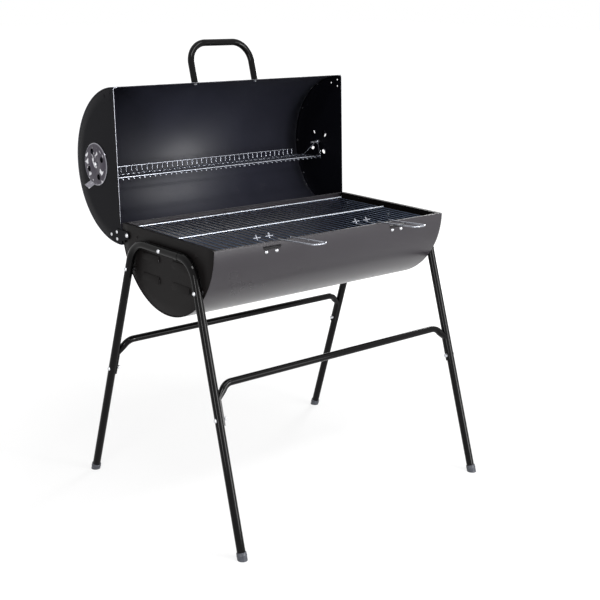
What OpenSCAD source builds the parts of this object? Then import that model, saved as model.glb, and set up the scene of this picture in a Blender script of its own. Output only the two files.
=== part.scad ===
// Barrel charcoal barbecue: a half drum on two bent-tube side frames, with a hinged lid.
// Millimetres. +X runs along the drum, +Y points to the hinge side, +Z is up.
// The origin is on the floor, under the middle of the whole outline. The lid is drawn open.

/* [Drum] */
// Length of the drum over its two end plates
drum_len = 800; // [760:5:860]
// Outer radius of the rolled drum and lid sheets
drum_r = 209; // [205:1:214]
// Height of the drum's rim above the floor
rim_z = 752.5; // [720:0.5:790]
// Thickness of the rolled sheets
sheet = 1; // [0.8:0.1:1.4]
// Thickness of the pressed end plates
end_t = 1.2; // [1:0.1:1.6]
// Width of the flange pressed round each end plate
flange = 12; // [10:1:14]
// Width of the lip folded inwards along each long rim
lip = 5.5; // [4:0.5:6]
// Length of each pressed air louvre in the drum's end plates
louvre_len = 75; // [50:1:85]
// Height of each louvre's hood
louvre_rise = 20; // [10:0.5:22]
// How far a louvre stands proud of the end plate
louvre_out = 5; // [3:0.5:6]
// Distance between the louvre columns
louvre_gap_y = 136; // [110:1:145]
// Height of the upper louvre row below the rim
louvre_drop = 76; // [70:1:84]
// Distance between the louvre rows
louvre_gap_z = 56; // [40:1:62]

/* [Lid and hinge] */
// Gap between the drum's rim and the lid's rim when they are parallel
lid_gap = 3; // [2.8:0.1:4]
// How far the lid is turned back from parallel
lid_open = 92.8; // [80:0.1:96]
// Distance of the hinge bolts inside the drum's rear face
pivot_in = 30; // [28:0.5:34]
// Distance of the hinge bolts below the drum's rim
pivot_down = 29; // [27:0.5:31]
// Thickness of the two hinge plates
hinge_t = 2; // [1.5:0.1:3]
// Width of the hinge plates' straps
hinge_w = 20; // [16:1:22]
// Distance of the hinge rivets from the lid's rim
rivet_up = 18; // [16:1:24]
// Height of the top hinge rivet above the lower pair
rivet_rise = 28; // [20:1:34]
// Distance between the lower hinge rivets
rivet_pitch = 19; // [15:1:22]
// Distance of the outer hinge rivet from the lid's outer face
rivet_edge = 15; // [14:1:18]
// Height of the vent and rack pin above the lid's rim
vent_up = 109; // [104:1:114]
// Pitch of the four square-set vent holes in each lid end
vent_pitch = 52; // [46:1:58]
// Diameter of the vent holes in the lid's ends
vent_d = 20; // [14:1:22]

/* [Dampers and lid handle] */
// Diameter of the two vent damper discs
damper_d = 115; // [108:1:122]
// Thickness of the damper discs
damper_t = 1.2; // [0.8:0.1:2]
// Diameter of the four holes in each damper
damper_hole = 16; // [10:1:20]
// Angle that the left damper is turned from fully open
turn_left = 22.5; // [0:0.5:45]
// Angle that the right damper is turned from fully open
turn_right = 15; // [0:0.5:45]
// Width of a damper's thumb tab
tab_w = 24; // [16:1:30]
// Length of a damper's thumb tab
tab_len = 21; // [14:1:26]
// Angle that the tab is bent out of the disc
tab_bend = 55; // [30:1:80]
// Distance between the lid handle's feet, centre to centre
handle_span = 212; // [180:2:240]
// Height of the lid handle's grip above the sheet, at its centre line
handle_rise = 114.5; // [95:0.5:130]
// Diameter of the lid handle's tube
handle_d = 19; // [16:1:22]
// Bend radius of the lid handle
handle_bend = 58; // [40:1:64]
// Angle of the lid handle above the lid's front rim
handle_angle = 14; // [10:0.5:20]

/* [Side frames] */
// Diameter of the leg tubes
leg_d = 22; // [20:0.5:25]
// Wall of all the steel tubes
tube_wall = 1.2; // [1:0.1:1.5]
// Depth of the side frames' top bars below the rim
bar_drop = 36; // [24:0.5:60]
// Lean of the legs to the front and the rear
leg_angle = 17; // [14:0.1:18]
// Distance from the drum's side in to where a leg's line meets the top bar
leg_in = 75.8; // [69:0.1:81]
// Bend radius of the side frames
leg_bend = 70; // [55:1:76]
// Outward lean of the side frames
splay = 1; // [0.6:0.1:1.6]
// Where the front and rear tubes of a side frame join, in front of the middle
joint_y = 64; // [20:1:66]
// Length of the swaged spigot inside the joint
spigot = 16; // [10:1:17]
// Diameter of the widened end of the front tube
collar_d = 23.6; // [23.2:0.1:24.5]
// Depth of the leg bolts on the drum's ends below the rim
leg_bolt_drop = 113.5; // [102:0.5:122]
// Diameter of the braces
brace_d = 19; // [16:0.5:20]
// Height of the braces' straight lengths
brace_z = 417.5; // [380:0.5:450]
// Bend radius of the braces
brace_bend = 34; // [30:1:42]
// Height of the bolts that hold the braces to the legs
brace_bolt_z = 336; // [300:1:352]
// Thickness of the braces' flattened ends, which are dished round the legs
flat_t = 3; // [2.4:0.1:4]
// Width of the braces' flattened ends
flat_w = 20; // [17:0.5:21]
// Length of a flattened end below its bolt
flat_tail = 16; // [12:1:24]
// Diameter of the plastic feet
foot_d = 27; // [25:0.5:32]
// Height of the plastic feet along the leg
foot_h = 19; // [16:1:30]

/* [Cooking grill and grates] */
// Depth of the grill's long wires below the rim
grill_drop = 11; // [10:0.5:12]
// Distance between the drum's end and the grill's last cross wire
grill_end_gap = 30; // [26:0.5:50]
// Number of cross wires on each side of the middle one
cross_side = 18; // [17:1:18]
// Diameter of the grill's long wires
long_wire = 4.5; // [4:0.1:5]
// Diameter of the grill's cross wires
cross_wire = 3; // [2.5:0.1:3.2]
// Distance between the drum's side and the grill's outer long wire
grill_side_gap = 22; // [21:1:31]
// Diameter of the grill handles' wire
loop_wire = 4; // [3.5:0.1:4.2]
// How far the grill handles reach in front of the drum
loop_reach = 135; // [90:1:150]
// How far the grill handles' tips stand above the rim
loop_lift = 12.5; // [8:0.5:20]
// Distance of the grill handles' hooks behind the grill's front wire
hook_in = 70; // [50:1:84]
// Length of the cross bar on each hooked end of a grill handle
hook_bar = 26; // [24:1:30]
// Distance of the front brackets from the middle
bracket_x = 221; // [219:1:235]
// Width of the front brackets
bracket_w = 54; // [48:1:58]
// Depth of the front brackets' bolts below the rim
bracket_drop = 24.5; // [22:0.5:26]
// Distance between the two bolts of a front bracket
bracket_pitch = 33; // [28:1:38]
// Half the length of the ledges that carry the grill
ledge_half = 150; // [140:1:160]
// Depth of the charcoal grates' wires below the rim
grate_drop = 110; // [100:1:120]
// Pitch of the charcoal grates' long wires
grate_pitch = 17.6; // [14:0.1:18]
// Diameter of the charcoal grates' long wires
grate_wire = 4; // [3:0.5:5]

/* [Warming rack] */
// Distance between the drum's end and the end of the warming rack
rack_end_gap = 30; // [26:1:50]
// Distance of each rail in front of and behind the pins
rack_y = 40; // [30:1:44]
// Distance of the rails below the pins
rack_drop = 37; // [30:1:42]
// Diameter of the rack's rails and arms
rack_wire = 4; // [3.5:0.1:4.5]
// Diameter of the rack's cross wires
rack_cross = 3; // [2.5:0.1:3.5]
// Height of the fence behind the deck
fence_h = 18; // [12:1:20]
// Distance between the rack's end and the end of its fence
fence_in = 38; // [36:1:70]
// Bend radius of the cross wires where they turn up into the fence
fence_bend = 6; // [4:0.5:8]
// Pitch of the rack's cross wires
rack_pitch = 17.4; // [16:0.1:22]
// How far the rack's cross wires reach in front of its front rail
rack_over = 9; // [3:1:12]

/* [Fasteners] */
// Diameter of the leg, brace and hinge bolts
bolt_d = 6; // [5:0.5:6]
// Diameter of the leg and brace bolts' heads
bolt_head = 11; // [10:0.5:13]
// Diameter of the small bolts and screws
small_d = 5; // [4:0.5:5]
// Diameter of the small bolts' heads
small_head = 10; // [8:0.5:11]
// Diameter of the rivets' shanks
rivet_d = 4.8; // [4:0.1:5]
// Diameter of the rivets' heads
rivet_head = 9; // [7:0.5:9.5]

/* [Hidden] */
$fn = 48;

// Clearances: a close seat, a gap between fixed pieces, a running fit and a bolt's hole
seat = 0.3;
fit = 0.1;
run_fit = 0.05;
bolt_gap = 0.25;

// Bends are a little fuller than the straight tube, and lap over it
swell = 0.05;
lap = 0.5;

half = drum_len / 2;
plate_r = drum_r - sheet - fit;
nut_h = 5;
head_h = 4;
small_head_h = 3.5;
rivet_h = 2;
plug_h = 20;

// Lid, hinge and vent
lid_z = rim_z + lid_gap;
lid_side_gap = 0.5;
lid_half = half + lid_side_gap + end_t;
pivot = [drum_r - pivot_in, rim_z - pivot_down];
rivet_out = drum_r - rivet_edge;
rivet_points = [[rivet_out, lid_z + rivet_up], [rivet_out - rivet_pitch, lid_z + rivet_up],
    [rivet_out - rivet_pitch / 2, lid_z + rivet_up + rivet_rise]];
vent = [0, lid_z + vent_up];
vent_ring = vent_pitch / sqrt(2);
function opened(p) = let (d = p - pivot)
    pivot + [d.x * cos(lid_open) + d.y * sin(lid_open), d.y * cos(lid_open) - d.x * sin(lid_open)];
pin = opened(vent);
hinge_line = opened(rivet_points[0]) - pivot;
hinge_dir = hinge_line / norm(hinge_line);
peg_d = 6;
peg_along = 20;
peg = pivot + peg_along * hinge_dir
    + (hinge_w / 2 + peg_d / 2 + seat) * [hinge_dir.y, -hinge_dir.x];

// Side frames
leg_r = leg_d / 2;
bar_x = half + collar_d / 2 + seat;
bar_z = rim_z - bar_drop;
bar_half = drum_r - leg_in;
leg_bolt_z = rim_z - leg_bolt_drop;
leg_turn = 90 - leg_angle;
leg_trim = leg_bend * tan(leg_turn / 2);
foot_y = bar_half + bar_z * tan(leg_angle);
leg_axis = bar_z / cos(leg_angle);
foot_base = 8;
function leg_y(z) = bar_half + (bar_z - z) * tan(leg_angle);
function leg_x(z) = bar_x + (bar_z - z) * tan(splay);
function plate_gap(z, x) = (x - bar_x - (bar_z - z) * sin(splay)) / cos(splay);
leg_bolt_spots = [[0, bar_z], [leg_y(leg_bolt_z), leg_bolt_z], [-leg_y(leg_bolt_z), leg_bolt_z]];
brace_bolt_spots = [[leg_y(brace_bolt_z), brace_bolt_z], [-leg_y(brace_bolt_z), brace_bolt_z]];

// Braces
brace_x = leg_x(brace_z) - leg_r / cos(splay) - seat - brace_d / 2;
brace_turn = 90 - splay;
brace_trim = brace_bend * tan(brace_turn / 2);
brace_bolt_at = (brace_z - brace_bolt_z) / cos(leg_angle) - brace_trim;
flat_start = 2;
press_turn = 34;
flat_end = brace_bolt_at + flat_tail;
brace_inner = leg_r + seat + flat_t;

// Grill: long wires on top of cross wires
long_z = rim_z - grill_drop;
cross_z = long_z - long_wire / 2 - cross_wire / 2;
cross_low = cross_z - cross_wire / 2;
grill_x = half - grill_end_gap;
grill_y = drum_r - grill_side_gap;
cross_pitch = grill_x / cross_side;
long_end = 2;

// A grill handle's legs run midway between cross wires
loop_x = 8.5 * cross_pitch;
loop_half = cross_pitch;
loop_bend = 5;
loop_rim_z = rim_z + loop_wire / 2 + seat + fit;
loop_tip = -(drum_r + loop_reach);
loop_edge = -(drum_r - lip - 4.5);
loop_dive = -(grill_y + long_wire / 2 + loop_wire / 2 + seat + 2.4);
loop_under = long_z - long_wire / 2 - loop_wire / 2 - seat - 1;
loop_up = -(grill_y - hook_in);
loop_stub = 13;
loop_rise = 15;
hook_z = cross_z + cross_wire / 2 + loop_wire / 2 + fit;

// Brackets, ledges and grates
bracket_t = 1.5;
bracket_tilt = asin(bracket_drop / drum_r);
bracket_h = 26;
slot_up = drum_r * sin(bracket_tilt - asin((bracket_drop - 13) / drum_r));
bracket_top = slot_up + bracket_t / 2;
bracket_y = sqrt(pow(drum_r - sheet, 2) - pow(max(bracket_top, bracket_h / 2), 2)) - fit;
slot_h = 8;
bracket_lip = 7;
tongue_w = 32;
tongue_y = grill_y - 4;
rest_z = cross_low - seat;
ledge_t = 1.5;
ledge_h = 19;
ledge_y = 135;
ledge_in = grill_x - 4;
ledge_rivet_z = rim_z - 26;
grate_z = rim_z - grate_drop;
grate_bar = 5;
grate_bar_z = grate_z - grate_wire / 2 - grate_bar / 2;
grate_end = half - flange - 2;
grate_gap = 6;
grate_rows = 8;
grate_reach = sqrt(pow(drum_r - sheet, 2) - pow(rim_z - grate_bar_z + grate_bar / 2, 2)) - seat;

// Warming rack, measured from its pins
pin_d = bolt_d;
pin_in = 31;
eye_x = lid_half - end_t - fit - nut_h - fit - rack_wire / 2;
eye_r = pin_d / 2 + fit + rack_wire / 2;
deck_z = -rack_drop - rack_wire / 2 - rack_cross / 2 + fit;
function rail_z(s) = s < 0 ? -rack_drop : -rack_drop - rack_wire - rack_cross + 2 * fit;
rack_half = half - rack_end_gap;
fence_half = rack_half - fence_in;
rack_side = floor(fence_half / rack_pitch);

// The outline's middle, from the front feet to the open lid's back
lid_mid = opened([0, lid_z]);
mid_y = (lid_mid.x + drum_r + 1.5 - foot_y - foot_d / 2 / cos(leg_angle)) / 2;

module placed() {
    translate([0, -mid_y, 0]) children();
}

module on_lid() {
    placed() translate([0, pivot.x, pivot.y]) rotate([-lid_open, 0, 0])
        translate([0, -pivot.x, -pivot.y]) children();
}

module on_rack() {
    placed() translate([0, pin.x, pin.y]) children();
}

module on_side() {
    translate([bar_x, 0, bar_z]) rotate([0, -splay, 0]) translate([0, 0, -bar_z]) children();
}

module left() {
    mirror([1, 0, 0]) children();
}

module rear() {
    mirror([0, 1, 0]) children();
}

module both_ends() {
    children();
    left() children();
}

// A round bar along X from x, centred on p in Y and Z
module bar_x_at(p, x, d, h) {
    translate([x, p.x, p.y]) rotate([0, 90, 0]) cylinder(d = d, h = h);
}

// A straight rod between two points
module rod(a, b, d) {
    v = b - a;
    translate(a) rotate([0, acos(v.z / norm(v)), atan2(v.y, v.x)])
        cylinder(d = d, h = norm(v), $fn = 24);
}

// A length of rod along +X; what follows it starts at its end
module straight(l, d) {
    rotate([0, 90, 0]) cylinder(d = d, h = l, $fn = 32);
    translate([l, 0, 0]) children();
}

// A bend in the XY plane, to the left for a positive turn; what follows starts at its end
module bend(turn, r, d) {
    more = lap / r * 180 / PI;
    mirror([0, turn > 0 ? 0 : 1, 0]) {
        translate([0, r, 0]) rotate([0, 0, -90 - more])
            rotate_extrude(angle = abs(turn) + 2 * more, $fn = 64)
                translate([r, 0]) circle(d = d + 2 * swell, $fn = 32);
        translate([0, r, 0]) rotate([0, 0, abs(turn)]) translate([0, -r, 0])
            mirror([0, turn > 0 ? 0 : 1, 0]) children();
    }
}

// A dome of radius r and height h on the XY plane
module dome(r, h) {
    ball = (r * r + h * h) / (2 * h);
    intersection() {
        translate([0, 0, h - ball]) sphere(r = ball, $fn = 64);
        cylinder(r = r, h = h);
    }
}

// A fastener along +X: its dome head starts at x = 0 and its shank runs towards -X
module bolt(shank, l, head, h) {
    rotate([0, 90, 0]) {
        dome(head / 2, h);
        translate([0, 0, -l]) cylinder(d = shank, h = l + 0.2);
    }
}

// A rivet whose tail lies l behind its head
module rivet(l) {
    bolt(rivet_d, l, rivet_head, rivet_h);
    translate([-l - 1, 0, 0]) rotate([0, 90, 0]) cylinder(d = rivet_head * 0.75, h = 1);
}

// A hexagon nut along -X from x = 0
module nut(d) {
    rotate([0, -90, 0]) difference() {
        cylinder(d = d * 1.9, h = nut_h, $fn = 6);
        translate([0, 0, -1]) cylinder(d = d + 2 * fit, h = nut_h + 2);
    }
}

// Half of a flanged end plate, below its straight edge, with its outer face at x
module half_cup(x) {
    intersection() {
        translate([x - flange, 0, 0]) rotate([0, 90, 0]) difference() {
            cylinder(r = plate_r, h = flange, $fn = 180);
            translate([0, 0, -1]) cylinder(r = plate_r - end_t, h = flange - end_t + 1, $fn = 180);
        }
        translate([x - flange - 1, -drum_r, -drum_r]) cube([flange + 2, 2 * drum_r, drum_r]);
    }
}

// Half of the rolled sheet, below its rims, reaching x to each side
module half_sheet(x) {
    intersection() {
        rotate([0, 90, 0]) difference() {
            cylinder(r = drum_r, h = 2 * x, center = true, $fn = 180);
            cylinder(r = drum_r - sheet, h = 2 * x + 2, center = true, $fn = 180);
        }
        translate([-x - 1, -drum_r - 1, -drum_r - 1]) cube([2 * x + 2, 2 * drum_r + 2, drum_r + 1]);
    }
}

// Placed on the drum's front skin at the brackets' bolts, with -Y pointing out of the skin
module on_bracket() {
    translate([bracket_x, 0, rim_z]) rotate([bracket_tilt, 0, 0]) children();
}

module bracket_slot() {
    on_bracket() translate([-bracket_w / 2 - 1, -drum_r - 2, slot_up - slot_h / 2])
        cube([bracket_w + 2, 5, slot_h]);
}

module bracket_holes() {
    on_bracket() for (s = [-1, 1]) translate([s * bracket_pitch / 2, -drum_r - 2, 0])
        rotate([-90, 0, 0]) cylinder(d = small_d + 2 * fit, h = 8);
}

module drum_sheet() {
    color("#3b3a3d") placed() difference() {
        union() {
            translate([0, 0, rim_z]) half_sheet(half);
            for (s = [0, 1]) mirror([0, s, 0])
                translate([-half + flange + fit, drum_r - lip, rim_z - sheet])
                    cube([2 * (half - flange - fit), lip - sheet / 2, sheet]);
        }
        both_ends() {
            bracket_slot();
            bracket_holes();
        }
    }
}

// An air louvre: a hood open at its lower edge, over a slot in the plate
module louvre_hood() {
    hood_r = (louvre_rise * louvre_rise + louvre_out * louvre_out) / (2 * louvre_out);
    difference() {
        intersection() {
            translate([louvre_out - hood_r, 0, 0]) rotate([90, 0, 0])
                cylinder(r = hood_r, h = louvre_len, center = true);
            translate([-end_t / 2, -louvre_len / 2, 0])
                cube([louvre_out + end_t, louvre_len, louvre_rise]);
        }
        translate([louvre_out - hood_r, 0, 0]) rotate([90, 0, 0])
            cylinder(r = hood_r - end_t, h = louvre_len - 2 * end_t, center = true);
    }
}

module drum_end() {
    louvres = [for (y = [-1, 1], row = [0, 1])
        [half, y * louvre_gap_y / 2, rim_z - louvre_drop - row * louvre_gap_z]];
    difference() {
        union() {
            translate([0, 0, rim_z]) half_cup(half);
            translate([half - flange, -plate_r + end_t / 2, rim_z - end_t])
                cube([flange - end_t / 2, 2 * plate_r - end_t, end_t]);
            bar_x_at(peg, half - end_t / 2, peg_d, end_t / 2 + lid_side_gap + end_t + hinge_t);
        }
        for (p = louvres) translate(p)
            translate([-end_t - 1, -louvre_len / 2 + end_t, 0])
                cube([end_t + 2, louvre_len - 2 * end_t, louvre_rise - 2 * end_t]);
        for (p = leg_bolt_spots) bar_x_at(p, half - 3, bolt_d + 4 * bolt_gap, 6);
        for (s = [-1, 1]) {
            bar_x_at([s * pivot.x, pivot.y], half - 3, bolt_d + 2 * fit, 6);
            bar_x_at([s * ledge_y, ledge_rivet_z], half - 3, rivet_d + 2 * fit, 6);
        }
    }
    for (p = louvres) translate(p) louvre_hood();
}

module drum_end_right() {
    color("#232226") placed() drum_end();
}

module drum_end_left() {
    color("#232226") placed() left() drum_end();
}

// A steel angle riveted inside each drum end, which the grill's cross wires lie on
module ledge() {
    plate = half - end_t - fit;
    difference() {
        union() {
            translate([ledge_in, -ledge_half, rest_z - ledge_t])
                cube([plate - ledge_in, 2 * ledge_half, ledge_t]);
            translate([plate - ledge_t, -ledge_half, rest_z - ledge_h])
                cube([ledge_t, 2 * ledge_half, ledge_h]);
        }
        for (s = [-1, 1]) bar_x_at([s * ledge_y, ledge_rivet_z], half - 6, rivet_d + 2 * fit, 8);
        // a notch clear of the top bar's nut
        translate([plate - ledge_t - 1, -bolt_d * 1.5, rest_z - ledge_h - 1])
            cube([ledge_t + 2, bolt_d * 3, bar_z + bolt_d * 1.5 - rest_z + ledge_h + 1]);
    }
}

module ledge_right() {
    color("#232226") placed() ledge();
}

module ledge_left() {
    color("#232226") placed() left() ledge();
}

module ledge_rivets() {
    color("#232226") placed() both_ends() for (s = [-1, 1])
        translate([half + fit, s * ledge_y, ledge_rivet_z]) rivet(end_t + ledge_t + 3 * fit);
}

// A bracket inside the drum's front: two bolts, a lip through the slot and a tongue for the grill
module bracket() {
    difference() {
        union() {
            on_bracket() {
                translate([-bracket_w / 2, -bracket_y, -bracket_h / 2])
                    cube([bracket_w, bracket_t, bracket_h / 2 + bracket_top]);
                translate([-bracket_w / 2, -bracket_y - bracket_lip, slot_up - bracket_t / 2])
                    cube([bracket_w, bracket_lip + bracket_t, bracket_t]);
            }
            translate([bracket_x - tongue_w / 2, -bracket_y + bracket_t, rest_z - bracket_t])
                cube([tongue_w, bracket_y - bracket_t - tongue_y, bracket_t]);
        }
        bracket_holes();
    }
}

module bracket_right() {
    color("#1c1c20") placed() bracket();
}

module bracket_left() {
    color("#1c1c20") placed() left() bracket();
}

module bracket_bolts() {
    color("#d5d6d8") placed() both_ends() on_bracket() for (s = [-1, 1])
        translate([s * bracket_pitch / 2, -drum_r - fit, 0]) rotate([0, 0, -90])
            bolt(small_d, drum_r - bracket_y + bracket_t + nut_h + 3, small_head, small_head_h);
}

module bracket_nuts() {
    color("#b9babd") placed() both_ends() on_bracket() for (s = [-1, 1])
        translate([s * bracket_pitch / 2, -bracket_y + bracket_t + fit, 0]) rotate([0, 0, -90])
            nut(small_d);
}

// The centre line of a side frame's tube, from y at the top bar to the leg's foot
module leg_line(y, d) {
    translate([0, y, bar_z]) rotate([90, 0, 90])
        straight(bar_half - leg_trim - y, d) bend(-leg_turn, leg_bend, d)
            straight(leg_axis - leg_trim - foot_base, d);
}

module leg_holes(spots) {
    for (p = spots) translate([-leg_r - 2, p.x, p.y]) rotate([0, 90, 0])
        cylinder(d = bolt_d + 2 * bolt_gap, h = leg_d + 4);
}

module leg_rear() {
    on_side() difference() {
        union() {
            difference() {
                leg_line(-joint_y, leg_d);
                leg_line(-joint_y, leg_d - 2 * tube_wall);
            }
            // the swaged end: a neck and a thinner spigot
            translate([0, -joint_y - spigot, bar_z]) rotate([-90, 0, 0])
                cylinder(d = leg_d - 2 * tube_wall - 2 * fit, h = spigot + 1);
            translate([0, -joint_y, bar_z]) rotate([-90, 0, 0]) cylinder(d = leg_d - tube_wall, h = 2);
        }
        translate([0, -joint_y - spigot - 1, bar_z]) rotate([-90, 0, 0])
            cylinder(d = leg_d - 4 * tube_wall - 2 * fit, h = spigot + 4);
        leg_holes([leg_bolt_spots[0], leg_bolt_spots[1], brace_bolt_spots[0]]);
    }
}

module leg_front() {
    on_side() rear() difference() {
        union() {
            leg_line(joint_y + fit, leg_d);
            translate([0, joint_y + fit, bar_z]) rotate([-90, 0, 0]) cylinder(d = collar_d, h = spigot);
        }
        leg_line(joint_y + fit, leg_d - 2 * tube_wall);
        leg_holes([leg_bolt_spots[1], brace_bolt_spots[0]]);
    }
}

module leg_rear_right() {
    color("#17171a") placed() leg_rear();
}

module leg_rear_left() {
    color("#17171a") placed() left() leg_rear();
}

module leg_front_right() {
    color("#17171a") placed() leg_front();
}

module leg_front_left() {
    color("#17171a") placed() left() leg_front();
}

module leg_washers() {
    color("#b9babd") placed() both_ends() on_side() for (p = leg_bolt_spots)
        translate([plate_gap(p.y, half + seat), p.x, p.y]) rotate([0, 90, 0]) difference() {
            h = -leg_r - plate_gap(p.y, half + seat) - fit / 2;
            cylinder(d = bolt_d * 2, h = h);
            translate([0, 0, -1]) cylinder(d = bolt_d + 2 * fit, h = h + 2);
        }
}

// Leg bolts run from the tube's outer side, through the tube and the drum's end plate
module leg_bolts() {
    color("#d5d6d8") placed() both_ends() on_side() for (p = leg_bolt_spots)
        translate([leg_r + fit, p.x, p.y])
            bolt(bolt_d, leg_r + fit - plate_gap(p.y, half - end_t) + nut_h + 3, bolt_head, head_h);
}

module leg_nuts() {
    color("#b9babd") placed() both_ends() on_side() for (p = leg_bolt_spots)
        translate([plate_gap(p.y, half - end_t - seat), p.x, p.y]) nut(bolt_d);
}

// A brace: a straight tube, turned down at both ends, where it is pressed flat
module brace() {
    module line(d) {
        translate([-brace_x + brace_trim, 0, 0]) rotate([90, 0, 0])
            straight(2 * (brace_x - brace_trim), d);
        both_ends() translate([brace_x - brace_trim, 0, 0]) rotate([90, 0, 0])
            bend(press_turn - brace_turn, brace_bend, d);
    }
    module at_flat() {
        translate([brace_x, 0, 0]) rotate([90, 0, 0]) rotate([0, 0, -brace_turn])
            translate([brace_trim, 0, 0]) children();
    }
    // the leg beside a flattened end, with room round it
    module leg_room(room) {
        translate([-brace_bend, brace_d / 2 + seat + leg_r, 0]) rotate([0, 90, 0])
            cylinder(r = leg_r + seat + room, h = brace_bend + flat_end + 1);
    }
    module dish(l, less) {
        intersection() {
            leg_room(flat_t - less);
            translate([flat_start, brace_d / 2 - flat_t - 1, less - flat_w / 2])
                cube([l, flat_t + seat + leg_r, flat_w - 2 * less]);
        }
    }
    translate([0, -leg_y(brace_z), brace_z]) rotate([-leg_angle, 0, 0]) difference() {
        union() {
            difference() {
                line(brace_d);
                line(brace_d - 2 * tube_wall);
            }
            both_ends() at_flat() {
                // the last part of the bend is pressed from round to dished
                difference() {
                    hull() {
                        translate([0, -brace_bend, 0]) rotate([0, 0, press_turn])
                            translate([0, brace_bend, 0]) rotate([0, 90, 0])
                                cylinder(d = brace_d + 5 * swell, h = 1, $fn = 32);
                        dish(1, 2 * swell);
                    }
                    leg_room(swell);
                }
                difference() {
                    dish(flat_end - flat_start, 0);
                    leg_room(0);
                }
            }
        }
        both_ends() at_flat() translate([brace_bolt_at, 0, 0]) rotate([-90, 0, 0])
            cylinder(d = bolt_d + 5 * bolt_gap, h = brace_d);
    }
}

module brace_front() {
    color("#17171a") placed() brace();
}

module brace_rear() {
    color("#17171a") placed() rear() brace();
}

module brace_bolts() {
    color("#d5d6d8") placed() both_ends() on_side() for (p = brace_bolt_spots)
        translate([leg_r + fit, p.x, p.y])
            bolt(bolt_d, leg_r + fit + brace_inner + nut_h + 4, bolt_head, head_h);
}

module brace_nuts() {
    color("#b9babd") placed() both_ends() on_side() for (p = brace_bolt_spots)
        translate([-brace_inner - seat, p.x, p.y]) nut(bolt_d);
}

// A plastic cap on the end of a leg, cut flat by the floor
module foot() {
    intersection() {
        on_side() translate([0, -foot_y, 0]) rotate([-leg_angle, 0, 0]) difference() {
            translate([0, 0, -foot_base * 2]) cylinder(d = foot_d, h = foot_h + foot_base * 2);
            translate([0, 0, foot_base]) cylinder(d = leg_d + 2 * run_fit, h = foot_h);
        }
        translate([half, -foot_y - foot_d, 0]) cube([2 * foot_d, 2 * foot_d, 2 * foot_h]);
    }
}

module foot_front_right() {
    color("#3a3a3d") placed() foot();
}

module foot_front_left() {
    color("#3a3a3d") placed() left() foot();
}

module foot_rear_right() {
    color("#3a3a3d") placed() rear() foot();
}

module foot_rear_left() {
    color("#3a3a3d") placed() left() rear() foot();
}

hinge_face = half + lid_side_gap + end_t;

module hinge_bolts() {
    color("#d5d6d8") placed() both_ends()
        translate([hinge_face + hinge_t + 2 * fit, pivot.x, pivot.y])
            bolt(bolt_d, hinge_face + hinge_t - half + end_t + nut_h + 3, bolt_head + 1, head_h);
}

module hinge_washers() {
    color("#b9babd") placed() both_ends() difference() {
        bar_x_at(pivot, half + fit, bolt_d * 2, hinge_face - half - 2 * fit);
        bar_x_at(pivot, half - 1, bolt_d + 2 * fit, hinge_face - half + 2);
    }
}

module hinge_nuts() {
    color("#b9babd") placed() both_ends()
        translate([half - end_t - fit, pivot.x, pivot.y]) nut(bolt_d);
}

// A charcoal grate: long wires welded on four bars, whose ends lie on the drum's sheet
module charcoal_grate() {
    inset = 24;
    span = grate_end - grate_gap - 2 * inset;
    for (i = [-grate_rows:grate_rows]) translate([grate_gap, i * grate_pitch, grate_z])
        rotate([0, 90, 0]) cylinder(d = grate_wire, h = grate_end - grate_gap, $fn = 16);
    for (i = [0:3]) translate([grate_gap + inset + i * span / 3, -grate_reach, grate_bar_z + fit])
        rotate([-90, 0, 0]) cylinder(d = grate_bar, h = 2 * grate_reach, $fn = 16);
}

module charcoal_grate_right() {
    color("#55565a") placed() charcoal_grate();
}

module charcoal_grate_left() {
    color("#55565a") placed() left() charcoal_grate();
}

// The cooking grill: three long wires welded over a row of cross wires
module cooking_grill() {
    color("#c9cbd0") placed() {
        for (y = [-grill_y, 0, grill_y]) translate([-grill_x - long_end, y, long_z])
            rotate([0, 90, 0]) cylinder(d = long_wire, h = 2 * (grill_x + long_end), $fn = 24);
        for (i = [-cross_side:cross_side])
            translate([i * cross_pitch, -grill_y - long_end, cross_z + fit])
                rotate([-90, 0, 0]) cylinder(d = cross_wire, h = 2 * (grill_y + long_end), $fn = 16);
    }
}

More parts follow.
